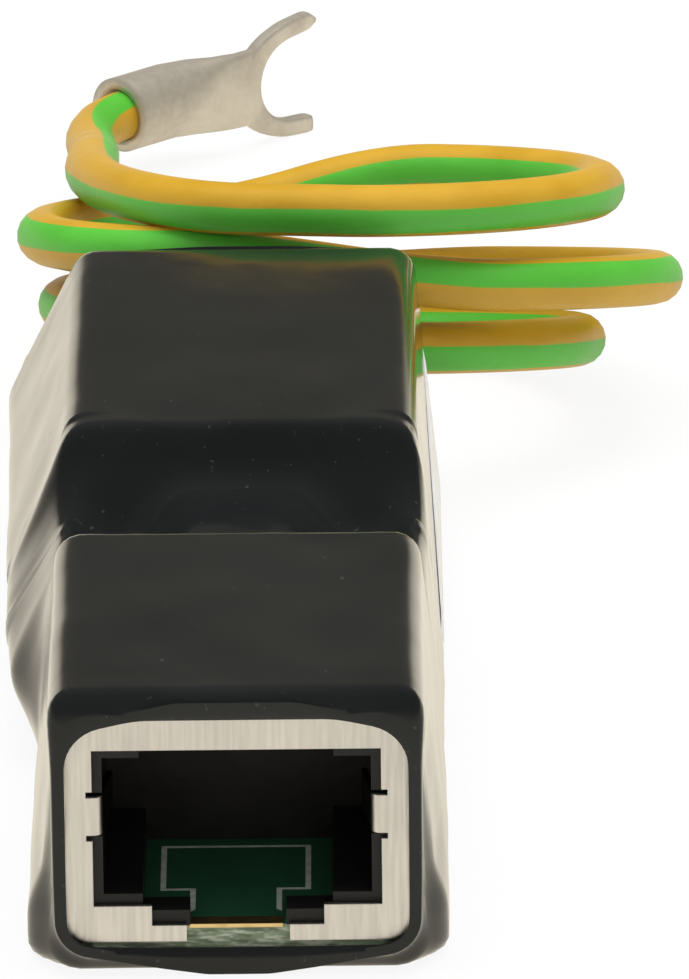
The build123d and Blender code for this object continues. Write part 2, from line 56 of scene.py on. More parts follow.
view_back = Vector((
    sin(view_azimuth) * cos(view_elevation),
    -cos(view_azimuth) * cos(view_elevation),
    sin(view_elevation),
))
level_right = Vector((cos(view_azimuth), sin(view_azimuth), 0))
level_up = view_back.cross(level_right)
view_right = level_right * cos(view_roll) + level_up * sin(view_roll)
view_up = level_up * cos(view_roll) - level_right * sin(view_roll)
view_target = view_aim + view_right * view_shift[0] + view_up * view_shift[1]
camera_data = bpy.data.cameras.new("camera")
camera_data.lens = view_focal_pixels * camera_data.sensor_width / view_tall_pixels
camera_data.clip_start = 0.01
camera_data.clip_end = 20
camera = bpy.data.objects.new("camera", camera_data)
camera.matrix_world = Matrix.Translation(view_target + view_back * view_distance) @ Matrix(
    (view_right, view_up, view_back)
).transposed().to_4x4()
bpy.context.scene.collection.objects.link(camera)
bpy.context.scene.camera = camera
bpy.context.scene.view_settings.view_transform = "Standard"


# The earth wire: a stranded copper core in yellow insulation with two green stripes on opposite
# sides. It leaves the sleeve beside the rear jack, makes three loose turns and ends in the fork.
wire_diameter = 2.6
wire_lead = [
    (-9.7, 31.0, 5.5),
    (-9.8125, 35.5, 5.4625),
    (-9.8125, 39.8, 4.15),
    (-9.6, 44.5, 2.75),
    (-7.6, 49.6, 1.6),
    (-3.6, 52.6, 1.32),
    (1.0, 53.2, 1.32),
]
# Each end of the oval turns: how far it reaches, where the strands come in and go out, and how far
# the stripe has turned from the top towards the outside of the coil.
wire_ends = [
    (16.7, (52.8, 1.35), (34.4, 6.9), 134, 98),
    (-9.1, (34.4, 8.5), (53.0, 3.9), 92, 60),
    (20.6, (54.6, 4.0), (34.5, 10.1), 84, 44),
    (-10.1, (34.7, 11.9), (52.5, 7.9), 40, 100),
    (17.7, (55.3, 9.3), (33.9, 14.25), 106, 102),
]
wire_crossing = [
    (3.0, 33.4, 14.5),
    (-1.2, 33.9, 14.45),
    (-4.4, 36.6, 14.0),
    (-6.6, 41.4, 13.0),
    (-7.6, 46.6, 11.9),
]
wire_tail = [
    (-7.9, 52.0, 10.6),
    (-7.9, 58.0, 8.9),
    (-7.9, 64.8, 6.9),
    (-8.1, 70.8, 5.2),
    (-8.35, 75.2, 4.1),
    (-8.45, 78.9, 3.5),
    (-7.6, 82.2, 3.35),
    (-4.88, 84.92, 3.35),
]
lead_stripe = (150, 134)
crossing_stripe = (100, 110)
tail_stripe = (115, 162)
end_steps = 6
stripe_start = 20


def mix(low, high, share):
    """A value between two others, by its share of the way."""
    return low + (high - low) * share


def with_stripe(points, stripe):
    """Points of the wire with the stripe's turn, spread evenly from the first to the last."""
    last = len(points) - 1
    return [(*point, mix(*stripe, i / last)) for i, point in enumerate(points)]


def turn_end(reach, coming, going, stripe_in, stripe_out):
    """The half round at one end of an oval turn, as points just outside the line they guide."""
    side = 1 if reach > 0 else -1
    radius = hypot(going[0] - coming[0], going[1] - coming[1]) / 2
    outside = radius / cos(pi / end_steps / 2)
    points = []
    for i in range(end_steps + 1):
        swing = pi * i / end_steps
        across = (1 - cos(swing) * outside / radius) / 2
        x = reach + side * (outside * sin(swing) - radius)
        y = mix(coming[0], going[0], across)
        z = mix(coming[1], going[1], across)
        points.append((x, y, max(z, wire_diameter / 2), mix(stripe_in, stripe_out, i / end_steps)))
    return points


wire_points = with_stripe(wire_lead, lead_stripe)
for end in wire_ends:
    wire_points += turn_end(*end)
wire_points += with_stripe(wire_crossing, crossing_stripe)
wire_points += with_stripe(wire_tail, tail_stripe)

wire_curve = bpy.data.curves.new("ground_wire", "CURVE")
wire_curve.dimensions = "3D"
wire_curve.twist_mode = "Z_UP"
wire_curve.resolution_u = 10
wire_curve.bevel_depth = wire_diameter / 2 * millimetre
wire_curve.bevel_resolution = 7
wire_spline = wire_curve.splines.new("NURBS")
wire_spline.points.add(len(wire_points) - 1)
for point, (x, y, z, turn) in zip(wire_spline.points, wire_points):
    point.co = (x * millimetre, y * millimetre, z * millimetre, 1)
    point.tilt = -radians(turn + stripe_start)
wire_spline.order_u = 3
wire_spline.use_endpoint_u = True
wire = bpy.data.objects.new("ground_wire", wire_curve)
bpy.context.scene.collection.objects.link(wire)


def node(tree, kind, inputs={}, **settings):
    """A shader node with its settings, and its inputs set to values or linked to other sockets."""
    made = tree.nodes.new("ShaderNode" + kind)
    for name, value in settings.items():
        setattr(made, name, value)
    for name, value in inputs.items():
        if isinstance(value, bpy.types.NodeSocket):
            tree.links.new(value, made.inputs[name])
        else:
            made.inputs[name].default_value = value
    return made


def maths(tree, operation, *values):
    """The result of one sum on values or other nodes' outputs."""
    return node(tree, "Math", dict(enumerate(values)), operation=operation).outputs[0]


def blend_colours(tree, share, low, high):
    """A colour between two others, by its share of the way."""
    return node(tree, "Mix", {0: share, 6: low, 7: high}, data_type="RGBA").outputs[2]


def between(tree, value, start, end, low=0.0, high=1.0):
    """A value spread smoothly from low to high as another runs from start to end."""
    inputs = {0: value, 1: start, 2: end, 3: low, 4: high}
    return node(tree, "MapRange", inputs, interpolation_type="SMOOTHSTEP").outputs[0]


def make_group(name, inputs, outputs):
    """An empty shader group with its named inputs and outputs, and its two end nodes."""
    group = bpy.data.node_groups.new(name, "ShaderNodeTree")
    for socket, kind, value in inputs:
        made = group.interface.new_socket(socket, in_out="INPUT", socket_type="NodeSocket" + kind)
        if value is not None:
            made.default_value = value
    for socket, kind in outputs:
        group.interface.new_socket(socket, in_out="OUTPUT", socket_type="NodeSocket" + kind)
    return group, group.nodes.new("NodeGroupInput"), group.nodes.new("NodeGroupOutput")


# Shared effects: uneven patches as a mask, and a fine skin as a normal.
mottle, mottle_in, mottle_out = make_group(
    "mottle",
    [("Vector", "Vector", None), ("Scale", "Float", 300.0), ("Detail", "Float", 4.0),
     ("Low", "Float", 0.3), ("High", "Float", 0.7)],
    [("Mask", "Float")],
)
mottle_noise = node(mottle, "TexNoise", {
    "Vector": mottle_in.outputs["Vector"],
    "Scale": mottle_in.outputs["Scale"],
    "Detail": mottle_in.outputs["Detail"],
})
mottle_mask = node(mottle, "MapRange", {
    0: mottle_noise.outputs[0],
    1: mottle_in.outputs["Low"],
    2: mottle_in.outputs["High"],
}, interpolation_type="SMOOTHSTEP")
mottle.links.new(mottle_mask.outputs[0], mottle_out.inputs["Mask"])

skin, skin_in, skin_out = make_group(
    "skin",
    [("Vector", "Vector", None), ("Scale", "Float", 2000.0), ("Depth", "Float", 0.00005),
     ("Normal", "Vector", None)],
    [("Normal", "Vector")],
)
skin_noise = node(skin, "TexNoise", {
    "Vector": skin_in.outputs["Vector"],
    "Scale": skin_in.outputs["Scale"],
    "Detail": 3.0,
})
skin_bump = node(skin, "Bump", {
    "Strength": 1.0,
    "Distance": skin_in.outputs["Depth"],
    "Height": skin_noise.outputs[0],
    "Normal": skin_in.outputs["Normal"],
})
skin.links.new(skin_bump.outputs[0], skin_out.inputs["Normal"])


def new_finish(name, **values):
    """A new material with its even values on the shader. It gives the material, its nodes, its
    shader and the place on the piece that a pattern reads."""
    material = bpy.data.materials.new(name)
    material.use_nodes = True
    tree = material.node_tree
    shader = tree.nodes["Principled BSDF"]
    for socket, value in values.items():
        shader.inputs[socket.replace("_", " ")].default_value = value
    place = node(tree, "TexCoord").outputs["Object"]
    return material, tree, shader, place


def mottled(tree, place, scale, low=0.3, high=0.7, detail=4.0):
    """A mask of uneven patches."""
    made = node(tree, "Group", node_tree=mottle)
    tree.links.new(place, made.inputs["Vector"])
    for socket, value in (("Scale", scale), ("Detail", detail), ("Low", low), ("High", high)):
        made.inputs[socket].default_value = value
    return made.outputs["Mask"]


def skinned(tree, place, scale, depth, normal=None):
    """A fine uneven skin, as a normal."""
    made = node(tree, "Group", node_tree=skin)
    tree.links.new(place, made.inputs["Vector"])
    made.inputs["Scale"].default_value = scale
    made.inputs["Depth"].default_value = depth
    if normal is None:
        normal = node(tree, "NewGeometry").outputs["Normal"]
    tree.links.new(normal, made.inputs["Normal"])
    return made.outputs["Normal"]


wire_yellow = (0.5, 0.28, 0.012, 1)
wire_green = (0.08, 0.43, 0.034, 1)
stripe_width = 66 / 360
stripe_blur = 0.012


def paint_wire():
    """Yellow insulation with two green stripes, whose edges are a little ragged."""
    material, tree, shader, place = new_finish("earth_insulation")
    spot = node(tree, "TexCoord").outputs["UV"]
    around = node(tree, "SeparateXYZ", {0: spot}).outputs["Y"]
    twice = maths(tree, "FRACT", maths(tree, "MULTIPLY", around, 2.0))
    off_middle = maths(tree, "ABSOLUTE", maths(tree, "SUBTRACT", twice, 0.5))
    ragged = maths(tree, "MULTIPLY", mottled(tree, place, 160), 0.02)
    edge = maths(tree, "ADD", off_middle, ragged)
    green = between(tree, edge, stripe_width - stripe_blur, stripe_width + stripe_blur, 1.0, 0.0)
    patches = mottled(tree, place, 220)
    yellow = blend_colours(tree, patches, wire_yellow, (0.56, 0.32, 0.02, 1))
    leaf = blend_colours(tree, patches, wire_green, (0.09, 0.47, 0.04, 1))
    tree.links.new(blend_colours(tree, green, yellow, leaf), shader.inputs["Base Color"])
    tree.links.new(between(tree, patches, 0, 1, 0.38, 0.5), shader.inputs["Roughness"])
    tree.links.new(skinned(tree, place, 1500, 0.00003), shader.inputs["Normal"])
    return material


wire_curve.materials.append(paint_wire())
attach(wire, "root")
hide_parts("ground_wire_lead", "ground_wire_coil", "ground_wire_tail")


# The sleeve: one length of black polyolefin tube, shrunk tight over both jacks, the board's edges
# and the tubes between them. It is drawn ring by ring as the taut outline of what lies under it.


def cad_corners(name):
    """The lowest and the highest corner of a CAD node's box, in millimetres."""
    return [[round(value / millimetre, 3) for value in corner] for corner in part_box(name)]


board_low, board_high = cad_corners("circuit_board")
shield_high = cad_corners("rear_shield")[1]
film_wall = 0.55
film_end = cad_corners("heat_shrink_sleeve")[1][1]
film_middle = 6.2
# A section's outline has this many points and is held from this many directions. A direction
# counts at a point that it faces by at least this much.
film_ring_points = 176
film_directions = 256
film_facing = 0.2
# A spot is a round corner under the film: its x, its z and its radius.
jack_round = 0.75
jack_corner_spot = (shield_high[0] - jack_round, shield_high[2] - jack_round, jack_round)
foot_spot = (7.1, 8.75, 1.1)
tube_spot = (0.3, 6.17, 4.1)
edge_round = 0.2
edge_side = board_high[0] + 0.02
edge_low_spot = (edge_side, board_low[2] + 0.18, edge_round)
edge_high_spot = (edge_side, board_high[2] - edge_round, edge_round)
# The two lips, with their spots in the order edge low, edge high, jack corner, top and bottom.
lip_narrows = (28.0, film_end)
lip_rises = (29.9, film_end)
lip_fold = 1.1
lip_sharpness = 3
lip_spots = [
    (6.45, 2.65, 1.2), (6.45, 4.4, 1.2), (5.6, 9.85, 2.05), (2.4, 10.1, 2.45), (1.2, 3.0, 2.4),
]
rear_lip_spots = [
    (6.9, 2.4, 1.4), (7.1, 4.4, 1.4), (7.15, 11.95, 0.75), (1.6, 9.9, 3.05), (1.2, 3.0, 2.4),
]
# Where the film draws in on the front jack's sides.
waist_depth = 0.42
waist_run = (20.0, 28.5)
waist_end = (29.2, film_end)
waist_low = (2.3, 4.6)
waist_high = (8.5, 12.0)
# The dip between the jacks: the film drops behind the front jack, climbs again to the rear one and
# sags in two pockets beside the tubes.
valley_drop = (-10.2, -8.9)
mound_rise = (0.9, 4.85)
mound_roundness = 2.4
pocket_depth = 1.9
pocket_rise = (-9.6, -7.0)
pocket_fall = (1.2, 4.5)
pocket_inner = (2.2, 5.4)
pocket_outer = (6.6, 8.3)
pocket_above = (8.0, 9.5)
# The earth wire under the film: y, and then its spot there.
wire_spots = [
    (-9.2, -7.5, 2.5, 0.5),
    (-8.6, -7.9, 2.8, 0.8),
    (-6.5, -8.05, 2.75, 0.8),
    (-4.9, -8.75, 3.4, 0.72),
    (-3.0, -9.0, 3.9, 1.35),
    (2.5, -9.2, 5.0, 1.35),
    (9.0, -9.3, 5.45, 1.35),
    (19.0, -9.4, 5.6, 1.35),
    (film_end, -9.7, 5.5, 1.35),
]
# Stretches of the sleeve from its front to its rear: where each ends, and the step between its
# sections.
film_stretches = [
    (-29.8, 0.1),
    (-27.4, 0.3),
    (-11.2, 1.35),
    (-7.8, 0.17),
    (0.6, 0.3),
    (6.8, 0.17),
    (27.8, 1.3),
    (29.8, 0.3),
    (film_end, 0.1),
]
# Where the film relaxes: from and to in y, and how many rounds.
mound_relaxed = (1.4, 6.6, 8)
valley_relaxed = (-9.4, 0.4, 6)
# The ripple of the shrunk film, as a scale and a height, and the flat ground that the label needs.
broad_ripple = (0.22, 0.09)
fine_ripple = (0.7, 0.02)
ripple_fades_over = 3
label_ground = (7, 5)
label_ground_depth = 0.04


def eased(value, start, end):
    """A share that runs smoothly from 0 to 1 as the value goes from start to end."""
    share = min(max((value - start) / (end - start), 0), 1)
    return share * share * (3 - 2 * share)


def between_spots(low, high, share):
    """A row of values between two others, by its share of the way."""
    return tuple(mix(a, b, share) for a, b in zip(low, high))


def film_spots(y):
    """What the film lies on at one section, as the x, z and radius of round corners."""
    fall = eased(y, *valley_drop)
    climb = min(max((y - mound_rise[0]) / (mound_rise[1] - mound_rise[0]), 0), 1)
    raised = 1 - fall if y < 0 else 1 - sqrt(1 - climb ** mound_roundness)
    corner = between_spots(foot_spot, jack_corner_spot, raised)
    lips = lip_spots if y < 0 else rear_lip_spots
    narrowing = eased(abs(y), *lip_narrows)
    fold = max((abs(y) - film_end) / lip_fold + 1, 0) ** lip_sharpness
    x, _, r = between_spots(edge_low_spot, lips[0], narrowing)
    bottom, lip_bottom = (spot[1] - spot[2] for spot in (edge_low_spot, lips[0]))
    z = mix(bottom, lip_bottom, eased(abs(y), *lip_rises)) + r
    spots = [(x, z, r), between_spots(edge_high_spot, lips[1], narrowing)]
    for spot, lip in zip((corner, tube_spot, tube_spot), lips[2:]):
        spots.append(between_spots(spot, lip, fold))
    spots += [(-x, z, r) for x, z, r in spots]
    for (y0, *low), (y1, *high) in zip(wire_spots, wire_spots[1:]):
        if y0 <= y <= y1:
            spots.append(between_spots(low, high, (y - y0) / (y1 - y0)))
    return spots


def film_ring(y, grow):
    """The taut outline round a section's spots, as points spread evenly round its middle."""
    turns = [2 * pi * j / film_directions for j in range(film_directions)]
    spots = [(x, z - film_middle, r) for x, z, r in film_spots(y)]
    reach = [max(x * cos(t) + z * sin(t) + r for x, z, r in spots) + grow for t in turns]
    ring = []
    for i in range(film_ring_points):
        around = 2 * pi * i / film_ring_points
        facing = [(h, cos(t - around)) for h, t in zip(reach, turns)]
        out = min(h / c for h, c in facing if c > film_facing)
        ring.append(Vector((out * cos(around), y, film_middle + out * sin(around))) * millimetre)
    return ring


def film_stations():
    """The places along the sleeve where a section is drawn."""
    stations = [-film_end]
    start = -film_end
    for end, step in film_stretches:
        count = ceil((end - start) / step - 0.01)
        stations += [mix(start, end, (i + 1) / count) for i in range(count)]
        start = end
    return stations


def new_piece(name, mesh, material):
    """A finished mesh as a piece of the object, with its material."""
    mesh.materials.append(material)
    piece = bpy.data.objects.new(name, mesh)
    bpy.context.scene.collection.objects.link(piece)
    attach(piece, "root")
    return piece


def to_mesh(form, name, smooth=True):
    """Ends the work on a form and gives its mesh."""
    mesh = bpy.data.meshes.new(name)
    for face in form.faces:
        face.smooth = smooth
    form.to_mesh(mesh)
    form.free()
    return mesh


def rolled_grid(rings):
    """A grid rolled up so that each row is one ring of points, and closed along its seam."""
    form = bmesh.new()
    around = len(rings[0])
    last = len(rings) - 1
    bmesh.ops.create_grid(form, x_segments=around, y_segments=last, size=1)
    for vertex in form.verts:
        i = round((vertex.co.x + 1) / 2 * around)
        j = round((vertex.co.y + 1) / 2 * last)
        vertex.co = rings[j][i % around]
    bmesh.ops.remove_doubles(form, verts=form.verts, dist=0.001 * millimetre)
    bmesh.ops.recalc_face_normals(form, faces=form.faces)
    return form


def soften(form, y0, y1, rounds):
    """Lets the film's surface relax between two sections, as it does where nothing backs it."""
    relaxed = [vertex for vertex in form.verts if y0 < vertex.co.y / millimetre < y1]
    axes = {"use_axis_x": True, "use_axis_y": True, "use_axis_z": True}
    for _ in range(rounds):
        bmesh.ops.smooth_vert(form, verts=relaxed, factor=0.5, **axes)


def pocket(x, y, z):
    """How far the film sags beside the tubes, between the two jacks."""
    along = eased(y, *pocket_rise) * (1 - eased(y, *pocket_fall))
    across = eased(abs(x), *pocket_inner) * (1 - eased(abs(x), *pocket_outer))
    return pocket_depth * along * across * eased(z, *pocket_above)


def waist(y, z):
    """How far the film draws in on the jack's sides towards its front end."""
    along = eased(-y, *waist_run) * (1 - eased(-y, *waist_end))
    return waist_depth * along * eased(z, *waist_low) * (1 - eased(z, *waist_high))


def make_film():
    """The film as one closed skin: its outer rings from front to rear and its inner rings back."""
    stations = film_stations()
    outside = [film_ring(y, film_wall) for y in stations]
    inside = [film_ring(y, 0) for y in reversed(stations)]
    form = rolled_grid(outside + inside + outside[:1])
    for vertex in form.verts:
        x, y, z = vertex.co / millimetre
        vertex.co.z -= pocket(x, y, z) * millimetre
        vertex.co.x -= copysign(waist(y, z), x) * millimetre
    soften(form, *mound_relaxed)
    soften(form, *valley_relaxed)
    for vertex in form.verts:
        place = vertex.co / millimetre
        away = Vector((place.x, 0, place.z - film_middle)).normalized()
        ripple = 0
        for scale, rise in (broad_ripple, fine_ripple):
            ripple += noise.noise(place * scale) * rise
        if place.x > label_ground[0] and place.y > label_ground[1]:
            ripple = -label_ground_depth
        share = eased(film_end - abs(place.y), 0, ripple_fades_over)
        vertex.co += away * ripple * share * millimetre
    return to_mesh(form, "sleeve_film")


film_black = (0.0105, 0.012, 0.0122, 1)


def paint_film():
    """Black film with a glossy skin, a little uneven, and dulled by specks of dust."""
    material, tree, shader, place = new_finish(
        "heat_shrink", Specular_IOR_Level=0.17, Coat_Roughness=0.13, Coat_IOR=1.26
    )
    patches = mottled(tree, place, 120)
    specks = mottled(tree, place, 2600, 0.7, 0.76, 2.0)
    tone = blend_colours(tree, patches, film_black, (0.0135, 0.015, 0.0152, 1))
    tone = blend_colours(tree, maths(tree, "MULTIPLY", specks, 0.2), tone, (0.16, 0.16, 0.15, 1))
    tree.links.new(tone, shader.inputs["Base Color"])
    tree.links.new(between(tree, patches, 0, 1, 0.16, 0.22), shader.inputs["Roughness"])
    tree.links.new(between(tree, specks, 0, 1, 1.0, 0.3), shader.inputs["Coat Weight"])
    broad = skinned(tree, place, 220, 0.00003)
    tree.links.new(skinned(tree, place, 2200, 0.000004, broad), shader.inputs["Normal"])
    return material


sleeve = new_piece("sleeve_film", make_film(), paint_film())
sleeve_edge = sleeve.modifiers.new("edge", "BEVEL")
sleeve_edge.width = 0.08 * millimetre
sleeve_edge.segments = 2
sleeve_edge.limit_method = "ANGLE"
sleeve_edge.angle_limit = radians(60)
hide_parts("heat_shrink_sleeve")


# The printed board: green mask over glass fibre, sawn at its edges. A white outline is printed on
# the floor of the port, and a gold-plated strip runs along the front edge.
board_green = (0.02, 0.1, 0.052, 1)
board_cut = (0.25, 0.31, 0.19, 1)


def paint_board():
    """Green mask on the board's faces, and the sawn fibres on its edges."""
    material, tree, shader, place = new_finish("board_green")
    facing = node(tree, "SeparateXYZ", {0: node(tree, "TexCoord").outputs["Normal"]}).outputs["Z"]
    side = between(tree, maths(tree, "ABSOLUTE", facing), 0.3, 0.6, 1.0, 0.0)
    fibre_place = node(tree, "Mapping", {"Vector": place, "Scale": (0.4, 0.4, 2.0)}).outputs[0]
    fibre = mottled(tree, fibre_place, 3600, 0.42, 0.6, 3.0)
    gaps = mottled(tree, fibre_place, 2100, 0.5, 0.62, 5.0)
    fibres = blend_colours(tree, fibre, board_cut, (0.52, 0.56, 0.42, 1))
    shaded = maths(tree, "MULTIPLY", gaps, 0.6)
    fibres = blend_colours(tree, shaded, fibres, (0.06, 0.09, 0.05, 1))
    mask = blend_colours(tree, mottled(tree, place, 500), board_green, (0.024, 0.118, 0.06, 1))
    tree.links.new(blend_colours(tree, side, mask, fibres), shader.inputs["Base Color"])
    tree.links.new(between(tree, side, 0, 1, 0.3, 0.75), shader.inputs["Roughness"])
    tree.links.new(skinned(tree, place, 1200, 0.00002), shader.inputs["Normal"])
    return material


def dress(name, material):
    """Gives a CAD node its finish."""
    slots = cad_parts[name].data.materials
    slots.clear()
    slots.append(material)


dress("circuit_board", paint_board())

printed_line = 0.25
printed_lift = 0.02
printed_outline = [
    (-3.54, -20.6), (3.25, -20.6), (3.25, -26.1), (1.95, -26.1), (1.95, -28.7),
    (-2.19, -28.7), (-2.19, -26.1), (-3.54, -26.1),
]
printed_open_side = min(y for x, y in printed_outline)
strip_side = (-2.2, 2.0)
strip_run = (-board_high[1] - 0.04, -29.35)
strip_rise = (board_high[2] - 0.16, board_high[2] + 0.05)
strip_round = 0.02


def make_printed_outline():
    """The outline as a thin line of ink: the rim of an inset face, without its front side."""
    form = bmesh.new()
    z = board_high[2] + printed_lift
    face = form.faces.new([form.verts.new((x, y, z)) for x, y in printed_outline])
    face.normal_update()
    bmesh.ops.inset_region(
        form, faces=[face], thickness=printed_line, use_even_offset=True, use_boundary=True
    )
    gone = []
    for face in form.faces:
        from_front = max(vertex.co.y for vertex in face.verts) - printed_open_side
        if len(face.verts) > 4 or from_front < 2 * printed_line:
            gone.append(face)
    bmesh.ops.delete(form, geom=gone, context="FACES")
    bmesh.ops.scale(form, verts=form.verts, vec=(millimetre,) * 3)
    bmesh.ops.recalc_face_normals(form, faces=form.faces)
    if sum(face.normal.z for face in form.faces) < 0:
        bmesh.ops.reverse_faces(form, faces=form.faces)
    return to_mesh(form, "printed_outline", smooth=False)


def make_strip():
    """The strip, as a thin bar with its edges eased."""
    low, high = (Vector(corner) * millimetre for corner in zip(strip_side, strip_run, strip_rise))
    form = bmesh.new()
    bmesh.ops.create_cube(form, size=1)
    bmesh.ops.scale(form, verts=form.verts, vec=high - low)
    bmesh.ops.translate(form, verts=form.verts, vec=(low + high) / 2)
    bmesh.ops.bevel(
        form, geom=form.edges[:], offset=strip_round * millimetre, segments=2, profile=0.5,
        affect="EDGES", material=-1,
    )
    return to_mesh(form, "edge_strip", smooth=False)


def paint_ink():
    """White ink, thin in patches."""
    material, tree, shader, place = new_finish("printed_ink", Roughness=0.6)
    worn = mottled(tree, place, 1800)
    worn = blend_colours(tree, worn, (0.72, 0.76, 0.72, 1), (0.5, 0.58, 0.52, 1))
    tree.links.new(worn, shader.inputs["Base Color"])
    return material


def paint_plated(name, tone, roughness=(0.28, 0.45)):
    """Bare or plated metal, with uneven patches."""
    material, tree, shader, place = new_finish(name, Metallic=1.0)
    patches = mottled(tree, place, 700)
    dull = tuple(0.82 * part for part in tone[:3]) + (1,)
    tree.links.new(blend_colours(tree, patches, tone, dull), shader.inputs["Base Color"])
    tree.links.new(between(tree, patches, 0, 1, *roughness), shader.inputs["Roughness"])
    tree.links.new(skinned(tree, place, 1800, 0.00002), shader.inputs["Normal"])
    return material


edge_gold = paint_plated("edge_gold", (0.95, 0.72, 0.36, 1))
new_piece("printed_outline", make_printed_outline(), paint_ink())
new_piece("edge_strip", make_strip(), edge_gold)


# The two jacks: a shell folded from thin sheet and plated satin nickel, its rolled grain running up
# the face. Inside it are a black moulded housing and an insert that carries eight gilt springs.
nickel_tone = (0.86, 0.845, 0.82, 1)
nickel_face = ((shield_high[1] - 0.5) * millimetre, (shield_high[1] - 0.1) * millimetre)


def paint_nickel():
    """Satin nickel with the sheet's grain, and painted shade, near black, where the shell's inside
    gets no light.
    """
    material, tree, shader, place = new_finish("nickel_shield", Metallic=1.0)
    stretch = node(tree, "Mapping", {"Vector": place, "Scale": (1.0, 1.0, 0.05)}).outputs[0]
    grain = mottled(tree, stretch, 5000, 0.25, 0.75, 6.0)
    patches = mottled(tree, place, 260)
    depth = maths(tree, "ABSOLUTE", node(tree, "SeparateXYZ", {0: place}).outputs["Y"])
    tone = blend_colours(tree, grain, nickel_tone, (0.76, 0.75, 0.74, 1))
    tone = blend_colours(tree, maths(tree, "MULTIPLY", patches, 0.3), tone, (0.7, 0.69, 0.68, 1))
    # Painted shade: behind the shell's face the nickel is painted near black.
    tone = blend_colours(tree, between(tree, depth, *nickel_face), (0.03, 0.028, 0.024, 1), tone)
    tree.links.new(tone, shader.inputs["Base Color"])
    uneven = maths(tree, "MULTIPLY", patches, 0.06)
    rough = maths(tree, "ADD", between(tree, grain, 0, 1, 0.3, 0.42), uneven)
    tree.links.new(rough, shader.inputs["Roughness"])
    rounded = node(tree, "Bevel", {"Radius": 0.00008}, samples=4).outputs[0]
    bumped = node(tree, "Bump", {
        "Strength": 0.35,
        "Distance": 0.00002,
        "Height": grain,
        "Normal": rounded,
    })
    tree.links.new(bumped.outputs[0], shader.inputs["Normal"])
    return material


def paint_moulded(name, tone, roughness=0.5, gloss=0.5):
    """A moulded plastic, a little uneven in tone and gloss."""
    material, tree, shader, place = new_finish(name, Specular_IOR_Level=gloss)
    patches = mottled(tree, place, 350)
    lighter = tuple(min(1.15 * part + 0.004, 1) for part in tone[:3]) + (1,)
    tree.links.new(blend_colours(tree, patches, tone, lighter), shader.inputs["Base Color"])
    rough = between(tree, patches, 0, 1, roughness - 0.06, roughness + 0.06)
    tree.links.new(rough, shader.inputs["Roughness"])
    tree.links.new(skinned(tree, place, 1600, 0.00002), shader.inputs["Normal"])
    return material


nickel = paint_nickel()
housing_black = paint_moulded("housing_black", (0.008, 0.0075, 0.008, 1), 0.45, 0.35)
insert_black = paint_moulded("insert_black", (0.004, 0.004, 0.004, 1), 0.5, 0.15)
contact_gold = paint_plated("contact_gold", (0.85, 0.62, 0.25, 1), (0.22, 0.36))
for end in ("front", "rear"):
    dress(f"{end}_shield", nickel)
    dress(f"{end}_housing", housing_black)
    dress(f"{end}_contact_insert", insert_black)
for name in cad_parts:
    if "_contact_" in name and not name.endswith("insert"):
        dress(name, contact_gold)


# The parts under the sleeve: ceramic gas tubes, moulded suppressor arrays, chip resistors and boxed
# film capacitors, all soldered to the board, and the stripped end of the earth wire on its pad.
tube_ceramic = paint_moulded("tube_ceramic", (0.62, 0.6, 0.56, 1), 0.35)
chip_black = paint_moulded("chip_black", (0.02, 0.02, 0.02, 1), 0.55)
capacitor_yellow = paint_moulded("capacitor_yellow", (0.62, 0.34, 0.03, 1), 0.3)
solder_tone = paint_plated("solder", (0.7, 0.7, 0.7, 1), (0.15, 0.3))
bare_copper = paint_plated("tinned_copper", (0.8, 0.5, 0.32, 1), (0.25, 0.4))
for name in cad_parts:
    if name.startswith("gas_tube"):
        dress(name, tube_ceramic)
    elif name.startswith(("tvs_array", "chip_resistors")):
        dress(name, chip_black)
    elif name.startswith("box_capacitor"):
        dress(name, capacitor_yellow)
dress("ground_solder_joint", solder_tone)
dress("ground_wire_conductor", bare_copper)
dress("ground_wire_inner", paint_moulded("earth_insulation_inside", wire_yellow, 0.42))


# The fork terminal: stamped from tinned sheet copper, its barrel rolled up and crimped on the wire.
# One prong is longer than the other, and the plate is worn round at its edges.
tin_tone = (0.66, 0.6, 0.5, 1)


def paint_tin():
    """Dull tin, uneven in tone, with its edges caught by the light."""
    material, tree, shader, place = new_finish("tinned_terminal", Metallic=0.6)
    patches = mottled(tree, place, 320)
    fine = mottled(tree, place, 2400)
    tone = blend_colours(tree, patches, tin_tone, (0.56, 0.5, 0.41, 1))
    tone = blend_colours(tree, maths(tree, "MULTIPLY", fine, 0.3), tone, (0.74, 0.69, 0.6, 1))
    tree.links.new(tone, shader.inputs["Base Color"])
    tree.links.new(between(tree, patches, 0, 1, 0.42, 0.58), shader.inputs["Roughness"])
    rounded = node(tree, "Bevel", {"Radius": 0.0001}, samples=4).outputs[0]
    tree.links.new(skinned(tree, place, 900, 0.00005, rounded), shader.inputs["Normal"])
    return material


fork_mouth = Vector((-7.0, 82.8, 3.35))
fork_heading = radians(45)
fork_sheet = 0.4
# The barrel's sections: how far along, half width, half depth and how square.
barrel_sections = [
    (0, 2.0, 2.0, 2.0),
    (3.4, 2.02, 1.9, 2.0),
    (4.8, 2.05, 1.45, 2.3),
    (6.0, 2.05, 0.8, 3.0),
    (7.2, 2.05, 0.42, 5.0),
    (8.5, 2.1, 0.3, 5.0),
]
barrel_back = barrel_sections[0][2]
barrel_steps = 8
barrel_ring_points = 48
closed_end = 0.01
bore_radius = 1.42
bore_depth = 4.2
slot_middle = (11.0, -0.15)
slot_radius = 2.2
prong_half_width = 0.5
root_half_width = 0.85
upper_prong = 2.3
lower_prong = 1.4
prong_steps = 6
root_steps = 12
root_widens = (2, root_steps)
prong_ring_points = 24
prong_bend = 0.5
prong_bend_run = (10.0, 13.5)
prong_lift = 0.02
tip_length = 2
tip_bluntness = 0.12


